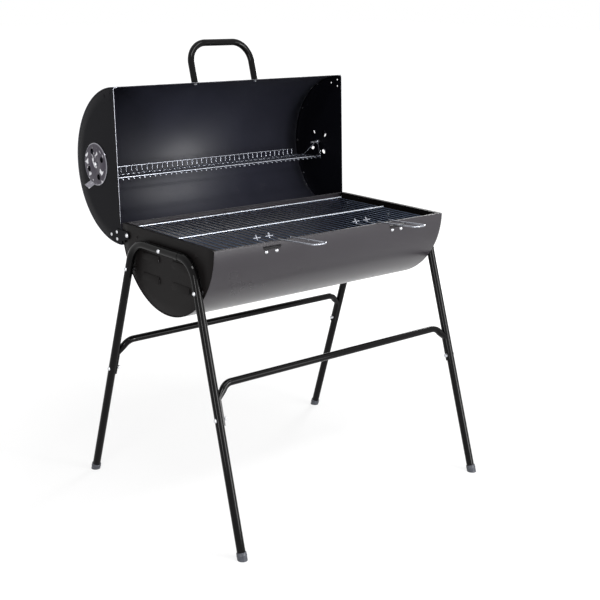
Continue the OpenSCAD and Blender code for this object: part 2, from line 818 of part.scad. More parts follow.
// A grill handle: a wire loop over the rim, whose legs dive under the grill's front wire
module grill_handle() {
    rim_run = loop_edge - loop_tip;
    slope = atan2(loop_lift + rim_z - loop_rim_z, rim_run);
    dive = atan2(loop_rim_z - loop_under, loop_dive - loop_edge);
    climb = 56;
    tip_bend = 14;
    outer = norm([rim_run, loop_lift + rim_z - loop_rim_z]);
    trim_a = loop_bend * tan((dive - slope) / 2);
    trim_b = loop_bend * tan(dive / 2);
    trim_c = loop_bend * tan(climb / 2);
    dive_len = norm([loop_dive - loop_edge, loop_rim_z - loop_under]);
    for (s = [-1, 1]) {
        translate([loop_x + s * loop_half, loop_edge, loop_rim_z]) rotate([90, 0, 90])
            rotate([0, 0, -slope]) translate([-outer + tip_bend, 0, 0])
                straight(outer - tip_bend - trim_a, loop_wire) bend(slope - dive, loop_bend, loop_wire)
                straight(dive_len - trim_a - trim_b, loop_wire) bend(dive, loop_bend, loop_wire)
                straight(loop_up - loop_dive - trim_b - trim_c, loop_wire)
                bend(climb, loop_bend, loop_wire) straight(loop_rise - trim_c, loop_wire);
        // the cross bar that rests on two cross wires
        translate([loop_x + s * loop_half - hook_bar / 2,
            loop_up + (hook_z - loop_under) / tan(climb), hook_z])
            rotate([0, 90, 0]) cylinder(d = loop_wire, h = hook_bar, $fn = 24);
    }
    translate([loop_x - loop_half, loop_edge, loop_rim_z]) rotate([-slope, 0, 0])
        translate([0, -outer + tip_bend, 0]) rotate([0, 0, -90]) translate([-lap, 0, 0])
            straight(lap, loop_wire) bend(90, tip_bend, loop_wire)
            straight(2 * (loop_half - tip_bend), loop_wire) bend(90, tip_bend, loop_wire)
            straight(lap, loop_wire);
}

module grill_handle_right() {
    color("#c9cbd0") placed() grill_handle();
}

module grill_handle_left() {
    color("#c9cbd0") placed() left() grill_handle();
}

module lid_sheet() {
    color("#26272c") on_lid() difference() {
        translate([0, 0, lid_z]) mirror([0, 0, 1]) half_sheet(lid_half);
        for (a = [30:30:150]) both_ends() translate([0, 0, lid_z]) rotate([a, 0, 0])
            translate([lid_half - flange / 2, drum_r - 5, 0]) rotate([-90, 0, 0])
                cylinder(d = rivet_d + 2 * fit, h = 10);
        both_ends() on_handle() translate([handle_span / 2, -drum_r - 5, 0]) rotate([-90, 0, 0])
            cylinder(d = small_d + 2 * fit, h = 10);
    }
}

module lid_end() {
    difference() {
        translate([0, 0, lid_z]) mirror([0, 0, 1]) half_cup(lid_half);
        for (a = [45:90:315]) bar_x_at(vent + vent_ring * [cos(a), sin(a)], half - 3, vent_d, 6);
        bar_x_at(vent, half - 3, pin_d + 2 * fit, 6);
        for (s = [-1, 1], p = rivet_points)
            bar_x_at([s * p.x, p.y], half - 3, rivet_d + 2 * fit, 6);
        for (a = [30:30:150]) translate([0, 0, lid_z]) rotate([a, 0, 0])
            translate([lid_half - flange / 2, drum_r - 8, 0]) rotate([-90, 0, 0])
                cylinder(d = rivet_d + 2 * fit, h = 10);
    }
}

module lid_end_right() {
    color("#232226") on_lid() lid_end();
}

module lid_end_left() {
    color("#232226") on_lid() left() lid_end();
}

module lid_seam_rivets() {
    color("#8d8e92") on_lid() both_ends() for (a = [30:30:150])
        translate([0, 0, lid_z]) rotate([a, 0, 0])
            translate([lid_half - flange / 2, drum_r + fit, 0]) rotate([0, 0, 90])
                bolt_rivet();
}

// A small rivet through the lid's sheet and the end plate's flange
module bolt_rivet() {
    bolt(rivet_d, sheet + end_t + 4 * fit, rivet_head * 0.8, 1.4);
    translate([-sheet - end_t - 1 - 4 * fit, 0, 0]) rotate([0, 90, 0])
        cylinder(d = rivet_head * 0.7, h = 1);
}

// A flat strap between two points in Y and Z, drawn in the XY plane
module strap(a, b, w) {
    v = b - a;
    translate(a) rotate(atan2(v.y, v.x)) translate([0, -w / 2]) square([norm(v), w]);
}

module hinge_plate() {
    p = [pivot, rivet_points[0], rivet_points[2], rivet_points[1]];
    translate([hinge_face + fit, 0, 0]) rotate([90, 0, 90]) linear_extrude(hinge_t) difference() {
        union() {
            for (i = [0:3]) {
                translate(p[i]) circle(d = hinge_w + 2 * swell);
                strap(p[i], p[(i + 1) % 4], hinge_w);
            }
            polygon(p);
        }
        translate(pivot) circle(d = bolt_d + 2 * run_fit);
        for (q = rivet_points) translate(q) circle(d = rivet_d + 2 * fit);
    }
}

module hinge_plate_right() {
    color("#1c1c20") on_lid() hinge_plate();
}

module hinge_plate_left() {
    color("#1c1c20") on_lid() left() hinge_plate();
}

module hinge_rivets() {
    color("#d5d6d8") on_lid() both_ends() for (p = rivet_points)
        translate([hinge_face + hinge_t + 2 * fit, p.x, p.y]) rivet(hinge_t + end_t + 3 * fit);
}

// Placed at the lid handle, with -Y pointing out of the lid's sheet
module on_handle() {
    translate([0, 0, lid_z]) rotate([-handle_angle, 0, 0]) children();
}

module lid_handle() {
    leg = handle_rise - handle_bend;
    flat = handle_span - 2 * handle_bend;
    module line(d) {
        translate([-handle_span / 2, -drum_r - fit, 0]) rotate([0, 0, -90])
            straight(leg, d) bend(90, handle_bend, d) straight(flat, d)
            bend(90, handle_bend, d) straight(leg, d);
    }
    color("#17171a") on_lid() on_handle() {
        difference() {
            line(handle_d);
            line(handle_d - 2 * tube_wall);
        }
        // threaded plugs in the two feet
        for (s = [-1, 1]) translate([s * handle_span / 2, -drum_r - fit - 1, 0]) rotate([90, 0, 0])
            difference() {
                cylinder(d = handle_d - tube_wall, h = plug_h);
                translate([0, 0, -1]) cylinder(d = small_d + 2 * fit, h = plug_h + 2);
            }
    }
}

module handle_screws() {
    color("#d5d6d8") on_lid() on_handle() for (s = [-1, 1])
        translate([s * handle_span / 2, -drum_r + sheet + fit, 0]) rotate([0, 0, 90])
            bolt(small_d, sheet + plug_h - 2, small_head, small_head_h);
}

damper_face = lid_half + seat + damper_t;

// Long bolts through the lid's ends: they carry the warming rack and the dampers
module rack_pins() {
    color("#d5d6d8") on_lid() both_ends()
        translate([damper_face + 1 + 3 * fit, vent.x, vent.y])
            bolt(pin_d, damper_face - lid_half + 1 + end_t + pin_in + 3 * fit, bolt_head, head_h);
}

module rack_pin_nuts() {
    color("#b9babd") on_lid() both_ends()
        translate([lid_half - end_t - fit, vent.x, vent.y]) nut(pin_d);
}

module damper_washers() {
    color("#b9babd") on_lid() both_ends() difference() {
        bar_x_at(vent, damper_face + fit, pin_d * 2, 1);
        bar_x_at(vent, damper_face - 1, pin_d + 2 * fit, 3);
    }
}

// A damper: a chromed disc with four holes and a bent thumb tab
module damper(turn) {
    translate([lid_half + seat, vent.x, vent.y]) rotate([turn, 0, 0]) {
        difference() {
            rotate([0, 90, 0]) cylinder(d = damper_d, h = damper_t, $fn = 96);
            bar_x_at([0, 0], -1, pin_d + 2 * run_fit, damper_t + 2);
            for (a = [45:90:315])
                bar_x_at(vent_ring * [cos(a), sin(a)], -1, damper_hole, damper_t + 2);
        }
        translate([0, damper_d / 2 - 2.5, -tab_w / 2]) rotate([0, 0, -tab_bend])
            cube([damper_t, tab_len, tab_w]);
    }
}

module damper_left() {
    color("#c9cbd0") on_lid() left() damper(turn_left);
}

module damper_right() {
    color("#c9cbd0") on_lid() damper(turn_right);
}

// The warming rack's deck: cross wires between a front rail above them and a back rail below
// them, which turn up into a fence
module rack_deck() {
    back = rack_y + rack_wire / 2 + fence_bend;
    front = -rack_y - rack_over;
    fence_z = deck_z + fence_h;
    fence_end = rack_side * rack_pitch + rack_cross / 2 + 1;
    color("#c9cbd0") on_rack() {
        for (s = [-1, 1]) translate([-rack_half, s * rack_y, rail_z(s)])
            rotate([0, 90, 0]) cylinder(d = rack_wire, h = 2 * rack_half, $fn = 24);
        translate([-fence_end, back - 1, fence_z])
            rotate([0, 90, 0]) cylinder(d = rack_wire - 1, h = 2 * fence_end, $fn = 24);
        for (i = [-rack_side:rack_side]) {
            translate([i * rack_pitch, front, deck_z]) rotate([0, 0, 90])
                straight(back - fence_bend - front, rack_cross) rotate([90, 0, 0])
                bend(90, fence_bend, rack_cross) straight(fence_h - fence_bend, rack_cross);
        }
        for (s = [-1, 1], k = [1, 2])
            translate([s * (rack_side + k) * rack_pitch, front, deck_z]) rotate([-90, 0, 0])
                cylinder(d = rack_cross, h = rack_y + 2 - front, $fn = 16);
    }
}

// A rack arm: two wires from the rails' ends to an eye that hangs on the pin
module rack_arm() {
    weld = rack_wire + 1;
    foot_in = rack_half + weld / 2 + fit;
    thin = rack_wire - 0.5;
    translate([eye_x, 0, 0]) rotate([0, 90, 0]) rotate_extrude($fn = 48)
        translate([eye_r, 0]) circle(d = rack_wire, $fn = 24);
    for (s = [-1, 1]) {
        rod([eye_x, s * eye_r, 0], [foot_in, s * rack_y, rail_z(s)], thin);
        translate([foot_in, s * rack_y, rail_z(s)]) sphere(d = weld, $fn = 24);
    }
}

module rack_arm_right() {
    color("#c9cbd0") on_rack() rack_arm();
}

module rack_arm_left() {
    color("#c9cbd0") on_rack() left() rack_arm();
}

drum_sheet();
drum_end_left();
drum_end_right();
ledge_left();
ledge_right();
ledge_rivets();
bracket_left();
bracket_right();
bracket_bolts();
bracket_nuts();
leg_front_left();
leg_front_right();
leg_rear_left();
leg_rear_right();
leg_washers();
leg_bolts();
leg_nuts();
brace_front();
brace_rear();
brace_bolts();
brace_nuts();
foot_front_left();
foot_front_right();
foot_rear_left();
foot_rear_right();
hinge_bolts();
hinge_washers();
hinge_nuts();
charcoal_grate_left();
charcoal_grate_right();
cooking_grill();
grill_handle_left();
grill_handle_right();
lid_sheet();
lid_end_left();
lid_end_right();
lid_seam_rivets();
hinge_plate_left();
hinge_plate_right();
hinge_rivets();
lid_handle();
handle_screws();
rack_pins();
rack_pin_nuts();
damper_washers();
damper_left();
damper_right();
rack_deck();
rack_arm_left();
rack_arm_right();
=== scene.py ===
from math import cos, pi, radians, sin

import bpy
from mathutils import Matrix, Vector


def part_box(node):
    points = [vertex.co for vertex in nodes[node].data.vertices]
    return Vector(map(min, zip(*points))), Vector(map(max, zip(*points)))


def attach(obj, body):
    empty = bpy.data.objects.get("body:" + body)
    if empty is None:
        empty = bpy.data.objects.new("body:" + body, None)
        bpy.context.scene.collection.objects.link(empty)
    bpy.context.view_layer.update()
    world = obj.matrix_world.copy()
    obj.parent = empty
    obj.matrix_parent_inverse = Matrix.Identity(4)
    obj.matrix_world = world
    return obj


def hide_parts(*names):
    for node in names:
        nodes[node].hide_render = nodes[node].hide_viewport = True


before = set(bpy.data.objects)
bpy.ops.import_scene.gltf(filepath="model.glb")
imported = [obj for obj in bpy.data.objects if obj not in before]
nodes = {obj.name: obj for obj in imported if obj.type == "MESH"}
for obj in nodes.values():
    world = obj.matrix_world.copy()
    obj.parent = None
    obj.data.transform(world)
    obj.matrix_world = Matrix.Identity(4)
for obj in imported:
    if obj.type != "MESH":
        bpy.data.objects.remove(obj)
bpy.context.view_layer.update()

# The studio: a white room with a pale paper floor. A broad soft lamp and a narrow strip stand
# in front on the right, a soft lamp on each side and a strip overhead. The camera stands at
# the left front corner.
LENS_MM = 67.867
CAMERA_AT = (-1.96304, -2.38721, 1.37558)
CAMERA_YAW, CAMERA_PITCH, CAMERA_ROLL = -0.7077, 0.2729, 0.0143
FLOOR_HALF = 30.0
WHITE = (1.0, 1.0, 1.0, 1.0)

ahead = Vector((-sin(CAMERA_YAW) * cos(CAMERA_PITCH), cos(CAMERA_YAW) * cos(CAMERA_PITCH),
                -sin(CAMERA_PITCH)))
level = Vector((cos(CAMERA_YAW), sin(CAMERA_YAW), 0.0))
upward = level.cross(ahead)
sideways = cos(CAMERA_ROLL) * level + sin(CAMERA_ROLL) * upward
upright = cos(CAMERA_ROLL) * upward - sin(CAMERA_ROLL) * level
facing = Matrix((sideways, upright, -ahead)).transposed().to_4x4()
camera = bpy.data.objects.new("studio_camera", bpy.data.cameras.new("studio_camera"))
camera.data.sensor_width = 36.0
camera.data.lens = LENS_MM
camera.matrix_world = Matrix.Translation(CAMERA_AT) @ facing
bpy.context.collection.objects.link(camera)
bpy.context.scene.camera = camera
bpy.context.scene.view_settings.view_transform = "Standard"


def add_node(tree, kind, values=None, links=None, **settings):
    """Adds one node: its settings, its input values, and the sockets that feed it."""
    made = tree.nodes.new(kind)
    for name, value in settings.items():
        setattr(made, name, value)
    for socket, value in (values or {}).items():
        made.inputs[socket].default_value = value
    for socket, source in (links or {}).items():
        tree.links.new(source, made.inputs[socket])
    return made


def paint(code):
    """A colour written in sRGB hex, as the linear colour that a socket takes."""
    parts = [int(code[i:i + 2], 16) / 255 for i in (1, 3, 5)]
    return tuple(p / 12.92 if p < 0.04045 else ((p + 0.055) / 1.055) ** 2.4 for p in parts) + (1.0,)


def seen_directly(tree):
    """1 for camera, mirror and glass rays, which see the white background, and 0 for the rest."""
    path = add_node(tree, "ShaderNodeLightPath")
    sharp = add_node(tree, "ShaderNodeMath", operation="MAXIMUM",
                     links={0: path.outputs["Is Camera Ray"], 1: path.outputs["Is Glossy Ray"]})
    return add_node(tree, "ShaderNodeMath", operation="MAXIMUM",
                    links={0: sharp.outputs[0], 1: path.outputs["Is Transmission Ray"]}).outputs[0]


room = bpy.data.worlds.new("white_room")
bpy.context.scene.world = room
room.use_nodes = True
tree = room.node_tree
tree.nodes.clear()
soft_fill = add_node(tree, "ShaderNodeBackground", values={"Color": WHITE, "Strength": 0.5})
white_wall = add_node(tree, "ShaderNodeBackground", values={"Color": WHITE, "Strength": 1.0})
choice = add_node(tree, "ShaderNodeMixShader", links={
    0: seen_directly(tree), 1: soft_fill.outputs[0], 2: white_wall.outputs[0]})
add_node(tree, "ShaderNodeOutputWorld", links={"Surface": choice.outputs[0]})

bpy.ops.object.select_all(action="DESELECT")
bpy.ops.mesh.primitive_plane_add(size=2 * FLOOR_HALF, location=(0, 0, 0))
floor = bpy.context.object
floor.name = "studio_floor"
bpy.ops.object.transform_apply(location=True, rotation=True, scale=True)
paper = bpy.data.materials.new("white_paper_floor")
paper.use_nodes = True
tree = paper.node_tree
tree.nodes.clear()
matt = add_node(tree, "ShaderNodeBsdfDiffuse", values={"Color": (0.8, 0.8, 0.8, 1.0)})
faint = add_node(tree, "ShaderNodeBsdfDiffuse", values={"Color": (0.22, 0.22, 0.22, 1.0)})
# the paper glows a little more away from the object, so that no horizon shows
spot = add_node(tree, "ShaderNodeTexCoord").outputs["Object"]
away = add_node(tree, "ShaderNodeVectorMath", operation="LENGTH", links={0: spot})
fade = add_node(tree, "ShaderNodeMapRange", links={"Value": away.outputs["Value"]}, values={
    "From Min": 0.7, "From Max": 2.2, "To Min": 0.76, "To Max": 1.0})
glow = add_node(tree, "ShaderNodeEmission", values={"Color": WHITE}, links={"Strength": fade.outputs[0]})
bright = add_node(tree, "ShaderNodeAddShader", links={0: faint.outputs[0], 1: glow.outputs[0]})
# mirrors see it plain white, and all but camera and mirror rays see it as matt paper
mirrored = add_node(tree, "ShaderNodeEmission", values={"Color": WHITE, "Strength": 1.0})
to_camera = add_node(tree, "ShaderNodeLightPath").outputs["Is Camera Ray"]
seen = add_node(tree, "ShaderNodeMixShader", links={
    0: to_camera, 1: mirrored.outputs[0], 2: bright.outputs[0]})
choice = add_node(tree, "ShaderNodeMixShader", links={
    0: seen_directly(tree), 1: matt.outputs[0], 2: seen.outputs[0]})
add_node(tree, "ShaderNodeOutputMaterial", links={"Surface": choice.outputs[0]})
floor.data.materials.append(paper)

# name, place, what it points at, width and height in metres, watts
LAMPS = (("key_softbox", (1.2, -3.6, 1.25), (0.0, 0.0, 0.7), 2.6, 2.0, 75.0),
         ("front_strip", (1.0, -2.7, 0.9), (0.0, 0.0, 0.6), 0.4, 1.6, 40.0),
         ("left_softbox", (-2.7, -1.5, 1.1), (0.0, 0.0, 0.6), 0.6, 1.8, 40.0),
         ("right_softbox", (2.7, 1.3, 1.1), (0.0, 0.0, 0.6), 0.6, 1.8, 60.0),
         ("top_strip", (0.0, -1.2, 3.0), (0.0, 0.0, 0.6), 2.4, 0.4, 45.0))
for name, place, target, wide, tall, watts in LAMPS:
    lamp = bpy.data.objects.new(name, bpy.data.lights.new(name, "AREA"))
    lamp.data.energy = watts
    lamp.data.shape = "RECTANGLE"
    lamp.data.size, lamp.data.size_y = wide, tall
    aim = (Vector(target) - Vector(place)).to_track_quat("-Z", "Y").to_matrix().to_4x4()
    lamp.matrix_world = Matrix.Translation(place) @ aim
    bpy.context.collection.objects.link(lamp)


# The drum's skin: one steel sheet rolled to a half round, with a lip folded in along each
# rim, and a slot under the rim for each front bracket. It is sprayed with heat-resistant
# silicone enamel, a brown-black satin film that mirrors the floor softly.
MM = 0.001
SHEET_T = 1.0 * MM
LIP_DEEP, LIP_ROLL = 5.5 * MM, 1.8 * MM
SLOT_SIZE = (56 * MM, 14 * MM, 9 * MM)
SLOT_DROP, SLOT_BACK = 14 * MM, 3 * MM
ARC_STEPS = 72

drum_low, drum_high = (Vector(corner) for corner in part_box("drum_sheet"))
drum_r = (drum_high.y - drum_low.y) / 2
drum_mid = Vector((0.0, (drum_low.y + drum_high.y) / 2, drum_high.z))


def deselect_all():
    bpy.ops.object.select_all(action="DESELECT")


def take(piece):
    """Makes this the only selected object, and the active one."""
    deselect_all()
    piece.select_set(True)
    bpy.context.view_layer.objects.active = piece


def draw_out(way):
    """Extrudes what is selected along this vector."""
    bpy.ops.mesh.extrude_region_move(TRANSFORM_OT_translate={"value": way})


def start_chain(name, points):
    """A new piece in edit mode: one corner, drawn out point by point into a chain of edges."""
    deselect_all()
    bpy.context.tool_settings.mesh_select_mode = (True, False, False)
    bpy.ops.mesh.primitive_plane_add(size=MM, location=points[0])
    piece = bpy.context.object
    piece.name = piece.data.name = name
    bpy.ops.object.transform_apply(location=True, rotation=True, scale=True)
    bpy.ops.object.mode_set(mode="EDIT")
    bpy.ops.mesh.select_all(action="SELECT")
    bpy.ops.mesh.merge(type="CENTER")
    for here, there in zip(points, points[1:]):
        draw_out(Vector(there) - Vector(here))
    bpy.ops.mesh.select_all(action="SELECT")
    return piece


def fasten(piece, kind, **settings):
    """Adds one modifier and applies it."""
    made = piece.modifiers.new(kind.lower(), kind)
    for name, value in settings.items():
        setattr(made, name, value)
    take(piece)
    bpy.ops.object.modifier_apply(modifier=made.name)


def close_up(piece, smooth=35):
    """Merges the seams, turns the faces outwards and smooths all but the sharp edges."""
    bpy.ops.object.mode_set(mode="OBJECT")
    take(piece)
    bpy.ops.object.mode_set(mode="EDIT")
    bpy.ops.mesh.select_all(action="SELECT")
    bpy.ops.mesh.remove_doubles(threshold=0.01 * MM)
    bpy.ops.mesh.normals_make_consistent(inside=False)
    bpy.ops.object.mode_set(mode="OBJECT")
    bpy.ops.object.shade_smooth_by_angle(angle=radians(smooth))


def add_shape(shape, name, **place):
    """Adds a primitive with its place and size already in its mesh."""
    deselect_all()
    shape(**place)
    made = bpy.context.object
    made.name = made.data.name = name
    bpy.ops.object.transform_apply(location=True, rotation=True, scale=True)
    return made


def cut_away(piece, shape, **place):
    """Cuts the piece with a primitive that is added for the purpose and thrown away after."""
    cutter = add_shape(shape, "cutter", **place)
    fasten(piece, "BOOLEAN", operation="DIFFERENCE", object=cutter, solver="EXACT")
    bpy.data.objects.remove(cutter)


def hand_over(piece, finish, body, slot, *replaced):
    """Gives a finished piece its material and the body it rides on, and hides the nodes it stands for."""
    if not piece.data.materials:
        piece.data.materials.append(finish)
    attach(piece, body)
    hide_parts(*replaced)


def new_finish(name):
    """A new material, with the tree and the shader that its nodes go into."""
    made = bpy.data.materials.new(name)
    made.use_nodes = True
    return made, made.node_tree, made.node_tree.nodes["Principled BSDF"]


def satin_enamel(name, colour, worn, gloss_level, roughness, haze=0.0):
    """Sprayed silicone enamel: a dark satin film, with cloudy patches and a faint orange peel."""
    made, tree, shader = new_finish(name)
    place = add_node(tree, "ShaderNodeTexCoord").outputs["Object"]
    clouds = add_node(tree, "ShaderNodeTexNoise", links={"Vector": place},
                      values={"Scale": 1 / (143 * MM), "Detail": 4.0})
    tint = add_node(tree, "ShaderNodeMix", data_type="RGBA", links={"Factor": clouds.outputs["Fac"]},
                    values={6: paint(colour), 7: paint(worn)})
    # real peel is about 1 mm; it is drawn 4 mm wide so that it still shows from the camera
    peel = add_node(tree, "ShaderNodeTexNoise", links={"Vector": place},
                    values={"Scale": 1 / (4 * MM), "Detail": 2.0})
    gloss = add_node(tree, "ShaderNodeMapRange", links={"Value": clouds.outputs["Fac"]}, values={
        "From Min": 0.3, "From Max": 0.7, "To Min": roughness - 0.03, "To Max": roughness + 0.04})
    skin = add_node(tree, "ShaderNodeBump", links={"Height": peel.outputs["Fac"]},
                    values={"Strength": 0.05, "Distance": 0.3 * MM})
    tree.links.new(tint.outputs[2], shader.inputs["Base Color"])
    tree.links.new(gloss.outputs[0], shader.inputs["Roughness"])
    tree.links.new(skin.outputs[0], shader.inputs["Normal"])
    shader.inputs["Specular IOR Level"].default_value = gloss_level
    # the matting powder in the film scatters light that only grazes it
    shader.inputs["Sheen Weight"].default_value = haze
    shader.inputs["Sheen Roughness"].default_value = 0.35
    return made


mid_r = drum_r - SHEET_T / 2
lip_turn = LIP_ROLL / mid_r
turns = [lip_turn + (pi - 2 * lip_turn) * i / ARC_STEPS for i in range(ARC_STEPS + 1)]
skin_line = [Vector((0, -mid_r * cos(a), -mid_r * sin(a))) for a in turns]
front_lip = [Vector((0, -mid_r + LIP_DEEP, -SHEET_T / 2)), Vector((0, -mid_r + LIP_ROLL, -SHEET_T / 2))]
front_lip += [Vector((0, -mid_r + LIP_ROLL * (1 - cos(a)), LIP_ROLL * (sin(a) - 1) - SHEET_T / 2))
              for a in (1.2, 0.8, 0.4)]
rear_lip = [Vector((0, -p.y, p.z)) for p in reversed(front_lip)]
drum_start = drum_mid + Vector((drum_low.x, 0, 0))
drum_skin = start_chain("drum_skin", [drum_start + p for p in front_lip + skin_line + rear_lip])
draw_out((drum_high.x - drum_low.x, 0, 0))
close_up(drum_skin)
fasten(drum_skin, "SOLIDIFY", thickness=SHEET_T, offset=0.0)
for bracket in ("bracket_left", "bracket_right"):
    low, high = (Vector(corner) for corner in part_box(bracket))
    cut_away(drum_skin, bpy.ops.mesh.primitive_cube_add, size=1, scale=SLOT_SIZE,
             location=((low.x + high.x) / 2, low.y + SLOT_BACK, drum_mid.z - SLOT_DROP))
fasten(drum_skin, "WEIGHTED_NORMAL", keep_sharp=True, weight=100)
# brown black, and glossy enough for a soft pale band along the drum's belly
drum_enamel = satin_enamel("satin_enamel_drum", "#242125", "#2b282d", 0.42, 0.3, haze=0.11)
hand_over(drum_skin, drum_enamel, "drum_and_stand", "drum_enamel", "drum_sheet")

# The drum's end plates: pressed steel half discs with a flange turned in all round and four
# hooded louvres each, which let air in under the charcoal. A peg near the hinge stops the
# lid. They are enamelled like the drum, but their colour is painted nearly black as painted shade.
PLATE_T, FLANGE, CORNER = 1.2 * MM, 12 * MM, 2.5 * MM
PLATE_GAP = 0.7 * MM
PAN_RINGS = (0, 0.3, 0.6, 0.85, 0.98, 1)
LOUVRE_HALF, LOUVRE_RISE, LOUVRE_OUT = 37.5 * MM, 20 * MM, 5 * MM
LOUVRE_Y, LOUVRE_DROPS = 68 * MM, (76 * MM, 132 * MM)
LOUVRE_SLOT, LOUVRE_SLOT_UP = (4 * MM, 71.25 * MM, 15 * MM), 8 * MM
LOUVRE_EDGE = 4.7 * MM
PEG_AT, PEG_D, PEG_LONG, PEG_EDGE = (193.4 * MM, -48 * MM), 6 * MM, 3.7 * MM, 0.6 * MM
PEG_ROOT = 1 * MM


def pan(name, middle, face, radius, start, turn):
    """Half of a flanged disc: a chain spun round from its straight edge's direction, start."""
    hub = Vector((face, middle.y, middle.z))
    chain = [hub + start * radius * share for share in PAN_RINGS]
    chain[-1].x -= CORNER
    chain += [chain[-1] + Vector((CORNER - FLANGE, 0, 0))]
    piece = start_chain(name, chain)
    bpy.ops.mesh.spin(steps=64, angle=pi, center=hub, axis=(turn, 0, 0))
    close_up(piece)
    return piece


def pick_edges(piece, test):
    """Selects the edges whose middle passes the test, and goes to edit mode."""
    take(piece)
    bpy.context.tool_settings.mesh_select_mode = (False, True, False)
    mesh = piece.data
    for part in (*mesh.vertices, *mesh.edges, *mesh.polygons):
        part.select = False
    for edge in mesh.edges:
        edge.select = test(sum((mesh.vertices[i].co for i in edge.vertices), Vector()) / 2)
    bpy.ops.object.mode_set(mode="EDIT")


def soften(piece, width, segments):
    """Rounds the sharp edges."""
    fasten(piece, "BEVEL", width=width, segments=segments, limit_method="ANGLE", angle_limit=radians(60))


def join_on(piece, *others):
    """Joins the other objects into the piece."""
    take(piece)
    for other in others:
        other.select_set(True)
    bpy.ops.object.join()


def copy_of(piece, name, shift=(0, 0, 0), flip=(1, 1, 1), about=(0, 0, 0)):
    """A copy with its own mesh, shifted, or mirrored about a point."""
    made = piece.copy()
    made.data = piece.data.copy()
    made.name = made.data.name = name
    bpy.context.collection.objects.link(made)
    made.scale = flip
    made.location = [s + a * (1 - f) for s, a, f in zip(shift, about, flip)]
    take(made)
    bpy.ops.object.transform_apply(location=True, rotation=True, scale=True)
    if flip[0] * flip[1] * flip[2] < 0:
        close_up(made)
    return made


def coat(finish, *names):
    """Gives these CAD nodes a finish."""
    for name in names:
        mesh = nodes[name].data
        mesh.materials.clear()
        mesh.materials.append(finish)


end_face = drum_high.x - PLATE_T / 2
plate_r = drum_r - SHEET_T - PLATE_GAP
end_right = pan("drum_end_right_plate", drum_mid, end_face, plate_r, Vector((0, -1, 0)), -1)
pick_edges(end_right, lambda p: p.z > drum_mid.z - 0.1 * MM and p.x > end_face - 1 * MM)
draw_out((-FLANGE, 0, 0))
close_up(end_right)
fasten(end_right, "SOLIDIFY", thickness=PLATE_T, offset=0.0)

# one quarter of a long rounded bar makes the hood: closed above, open below
hood_z = drum_mid.z - LOUVRE_DROPS[0]
hood = add_shape(bpy.ops.mesh.primitive_cylinder_add, "louvre_hood", vertices=40, radius=1,
                 depth=2 * LOUVRE_HALF, location=(end_face, drum_mid.y - LOUVRE_Y, hood_z),
                 rotation=(pi / 2, 0, 0), scale=(LOUVRE_OUT, LOUVRE_RISE, 1))
soften(hood, LOUVRE_EDGE, 5)
for normal in ((1, 0, 0), (0, 0, 1)):
    take(hood)
    bpy.ops.object.mode_set(mode="EDIT")
    bpy.ops.mesh.select_all(action="SELECT")
    bpy.ops.mesh.bisect(plane_co=(end_face, 0, hood_z), plane_no=normal, clear_inner=True)
    close_up(hood)
fasten(hood, "SOLIDIFY", thickness=SHEET_T, offset=-1.0)
hoods = []
for shift_y in (0, 2 * LOUVRE_Y):
    for drop in LOUVRE_DROPS:
        hoods.append(copy_of(hood, "louvre_hood", shift=(0, shift_y, LOUVRE_DROPS[0] - drop)))
        cut_away(end_right, bpy.ops.mesh.primitive_cube_add, size=1, scale=LOUVRE_SLOT, location=(
            end_face, drum_mid.y - LOUVRE_Y + shift_y, drum_mid.z - drop + LOUVRE_SLOT_UP))
bpy.data.objects.remove(hood)

peg_mid = drum_mid + Vector((drum_high.x + (PEG_LONG - PEG_ROOT) / 2, PEG_AT[0], PEG_AT[1]))
peg = add_shape(bpy.ops.mesh.primitive_cylinder_add, "stop_peg", vertices=24, radius=PEG_D / 2,
                depth=PEG_LONG + PEG_ROOT, location=peg_mid, rotation=(0, pi / 2, 0))
soften(peg, PEG_EDGE, 2)
join_on(end_right, peg, *hoods)
close_up(end_right)
end_left = copy_of(end_right, "drum_end_left_plate", flip=(-1, 1, 1))
# painted near black as painted shade, with hardly any shine, so that the louvres show only as soft ridges
end_enamel = satin_enamel("satin_enamel_ends_painted_shade", "#0e0c0c", "#141212", 0.08, 0.42)
for plate, name in ((end_left, "drum_end_left"), (end_right, "drum_end_right")):
    hand_over(plate, end_enamel, "drum_and_stand", "end_enamel", name)

# The ledges: steel angles riveted to the end plates, inside the drum, where they carry the
# ends of the grill. They and their rivets were sprayed together with the plates, so they take the plates'
# painted shade.
coat(end_enamel, "ledge_left", "ledge_right", "ledge_rivets")


# The side frames: steel tubes bent over the drum's ends and plugged together on the top bar,
# and two braces with flattened ends. They are powder coated in gloss black, so a thin bright
# line runs down each tube.
def gloss_powder_coat(name):
    """Powder coat: a deep glossy black with a slow ripple in it."""
    made, tree, shader = new_finish(name)
    place = add_node(tree, "ShaderNodeTexCoord").outputs["Object"]
    flow = add_node(tree, "ShaderNodeTexNoise", links={"Vector": place},
                    values={"Scale": 1 / (6.25 * MM), "Detail": 1.0})
    patch = add_node(tree, "ShaderNodeTexNoise", links={"Vector": place},
                     values={"Scale": 1 / (83.3 * MM), "Detail": 3.0})
    tint = add_node(tree, "ShaderNodeMix", data_type="RGBA", links={"Factor": patch.outputs["Fac"]},
                    values={6: paint("#070707"), 7: paint("#0c0b0c")})
    ripple = add_node(tree, "ShaderNodeBump", links={"Height": flow.outputs["Fac"]},
                      values={"Strength": 0.06, "Distance": 0.3 * MM})
    tree.links.new(tint.outputs[2], shader.inputs["Base Color"])
    tree.links.new(ripple.outputs[0], shader.inputs["Normal"])
    shader.inputs["Roughness"].default_value = 0.07
    shader.inputs["Specular IOR Level"].default_value = 0.12
    return made


tube_paint = gloss_powder_coat("gloss_powder_coat")
coat(tube_paint, "leg_front_left", "leg_front_right", "leg_rear_left", "leg_rear_right",
     "brace_front", "brace_rear")

